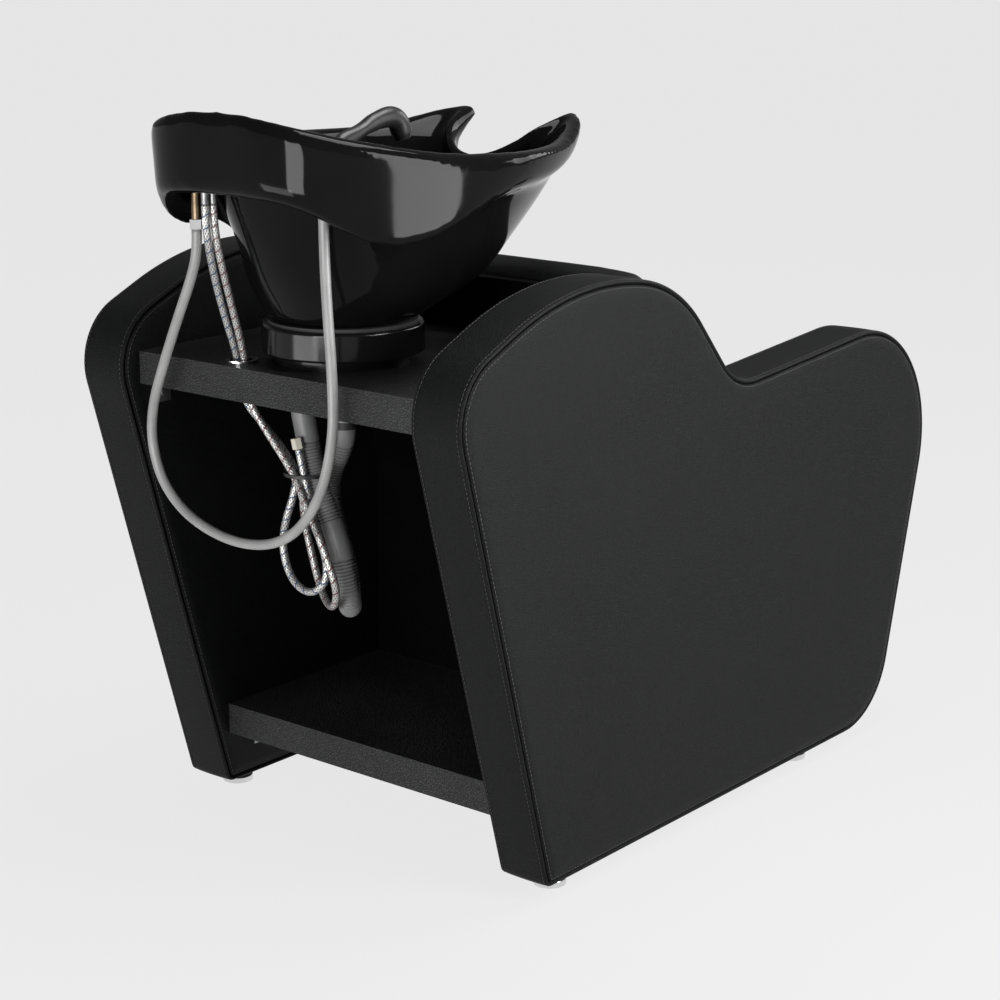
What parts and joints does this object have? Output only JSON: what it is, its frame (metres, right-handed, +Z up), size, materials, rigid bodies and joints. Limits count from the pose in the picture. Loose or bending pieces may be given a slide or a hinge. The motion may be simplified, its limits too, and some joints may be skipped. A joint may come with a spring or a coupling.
{
  "type": "salon backwash unit",
  "caption": "Salon backwash unit with a tilting black ceramic basin behind a grained upholstered armchair with padded sides.",
  "frame": {"origin": "on the floor, under the middle of the bounding box without the free hoses", "axes": "+Z up, the sitter faces -Y, the basin is at +Y, +X is the sitter's left"},
  "size_m": [0.664, 1.1726, 1.008],
  "materials": {
    "upholstery": "grained matt",
    "carcass_board": "raw panel",
    "grained_laminate": "leather grained laminate",
    "black_ceramic": "gloss glaze",
    "black_gloss_plastic": "gloss",
    "black_rubber": "matt",
    "satin_black_plastic": "satin",
    "chrome_plate": "polished",
    "brass_fitting": "machined",
    "ivory_plastic": "moulded",
    "grey_vinyl": "smooth",
    "braided_steel": "woven",
    "grey_polypropylene": "moulded",
    "foot_steel": "plated",
    "zinc_steel": "zinc plated"
  },
  "bodies": {
    "basin": {"tilt_collar": "black_gloss_plastic", "trunnion_pins": "zinc_steel", "collar_gasket": "black_rubber", "basin_bowl": "black_ceramic", "waste_flange": "chrome_plate", "waste_tail": "grey_polypropylene", "waste_nut": "ivory_plastic", "mixer_base": "chrome_plate", "mixer_cartridge": "ivory_plastic", "mixer_nut": "brass_fitting", "outlet_nipple": "brass_fitting", "hose_nut": "chrome_plate", "inlet_tails": "zinc_steel", "spray_holder": "satin_black_plastic", "spray_hose": "grey_vinyl"},
    "mixer_head": {"mixer_cap": "chrome_plate", "lever_pin": "zinc_steel"},
    "lever": {"mixer_lever": "chrome_plate"},
    "handset": {"spray_handle": "satin_black_plastic", "spray_nozzle": "satin_black_plastic", "hose_ferrule": "chrome_plate"},
    "strainer": {"hair_strainer": "chrome_plate"},
    "foot_rear_right": {"levelling_foot_rear_right": "foot_steel"},
    "foot_rear_left": {"levelling_foot_rear_left": "foot_steel"},
    "foot_front_right": {"levelling_foot_front_right": "foot_steel"},
    "foot_front_left": {"levelling_foot_front_left": "foot_steel"},
    "frame": {"apron_board": "carcass_board", "apron_cover": "upholstery", "back_board": "grained_laminate", "backrest_cushion": "upholstery", "basin_shelf": "grained_laminate", "board_brackets": "zinc_steel", "board_screws": "zinc_steel", "bottom_board": "grained_laminate", "cable_tie": "satin_black_plastic", "cold_hose": "braided_steel", "drain_clip": "zinc_steel", "drain_hose": "grey_polypropylene", "edge_band_left": "upholstery", "edge_band_right": "upholstery", "foot_inserts": "zinc_steel", "hose_end_nuts": "ivory_plastic", "hose_grommet": "chrome_plate", "hot_hose": "braided_steel", "inner_cover_left": "upholstery", "inner_cover_right": "upholstery", "outer_cover_left": "upholstery", "outer_cover_right": "upholstery", "panel_core_left": "carcass_board", "panel_core_right": "carcass_board", "pedestal_foot": "black_gloss_plastic", "pedestal_screws": "zinc_steel", "rear_wall": "grained_laminate", "seat_cushion": "upholstery", "seat_deck": "carcass_board", "seat_rails": "carcass_board", "shelf_brackets": "zinc_steel", "shelf_screws": "zinc_steel"}
  },
  "joints": [
    {"name": "basin_tilt", "type": "hinge", "parent": "frame", "child": "basin", "pos_m": [0, 0.363, 0.701], "axis": [1, 0, 0], "range_deg": [-6, 6], "deforming": ["cold_hose", "hot_hose", "drain_hose", "drain_clip"]},
    {"name": "mixer_turn", "type": "hinge", "parent": "basin", "child": "mixer_head", "pos_m": [0.084, 0.522, 0.955], "axis": [0, 0, 1], "range_deg": [-40, 40]},
    {"name": "lever_lift", "type": "hinge", "parent": "mixer_head", "child": "lever", "pos_m": [0.084, 0.526, 0.9559], "axis": [-1, 0, 0], "range_deg": [0, 22]},
    {"name": "handset_lift", "type": "slide", "parent": "basin", "child": "handset", "axis": [0, 0, 1], "range_m": [0, 0.12], "deforming": ["spray_hose"]},
    {"name": "strainer_lift", "type": "slide", "parent": "basin", "child": "strainer", "axis": [0, 0, 1], "range_m": [0, 0.1]},
    {"name": "turn_foot_rear_right", "type": "hinge", "parent": "frame", "child": "foot_rear_right", "pos_m": [-0.291, 0.296, 0], "axis": [0, 0, 1], "continuous": true},
    {"name": "turn_foot_rear_left", "type": "hinge", "parent": "frame", "child": "foot_rear_left", "pos_m": [0.291, 0.296, 0], "axis": [0, 0, 1], "continuous": true},
    {"name": "turn_foot_front_right", "type": "hinge", "parent": "frame", "child": "foot_front_right", "pos_m": [-0.291, -0.295, 0], "axis": [0, 0, 1], "continuous": true},
    {"name": "turn_foot_front_left", "type": "hinge", "parent": "frame", "child": "foot_front_left", "pos_m": [0.291, -0.295, 0], "axis": [0, 0, 1], "continuous": true}
  ]
}
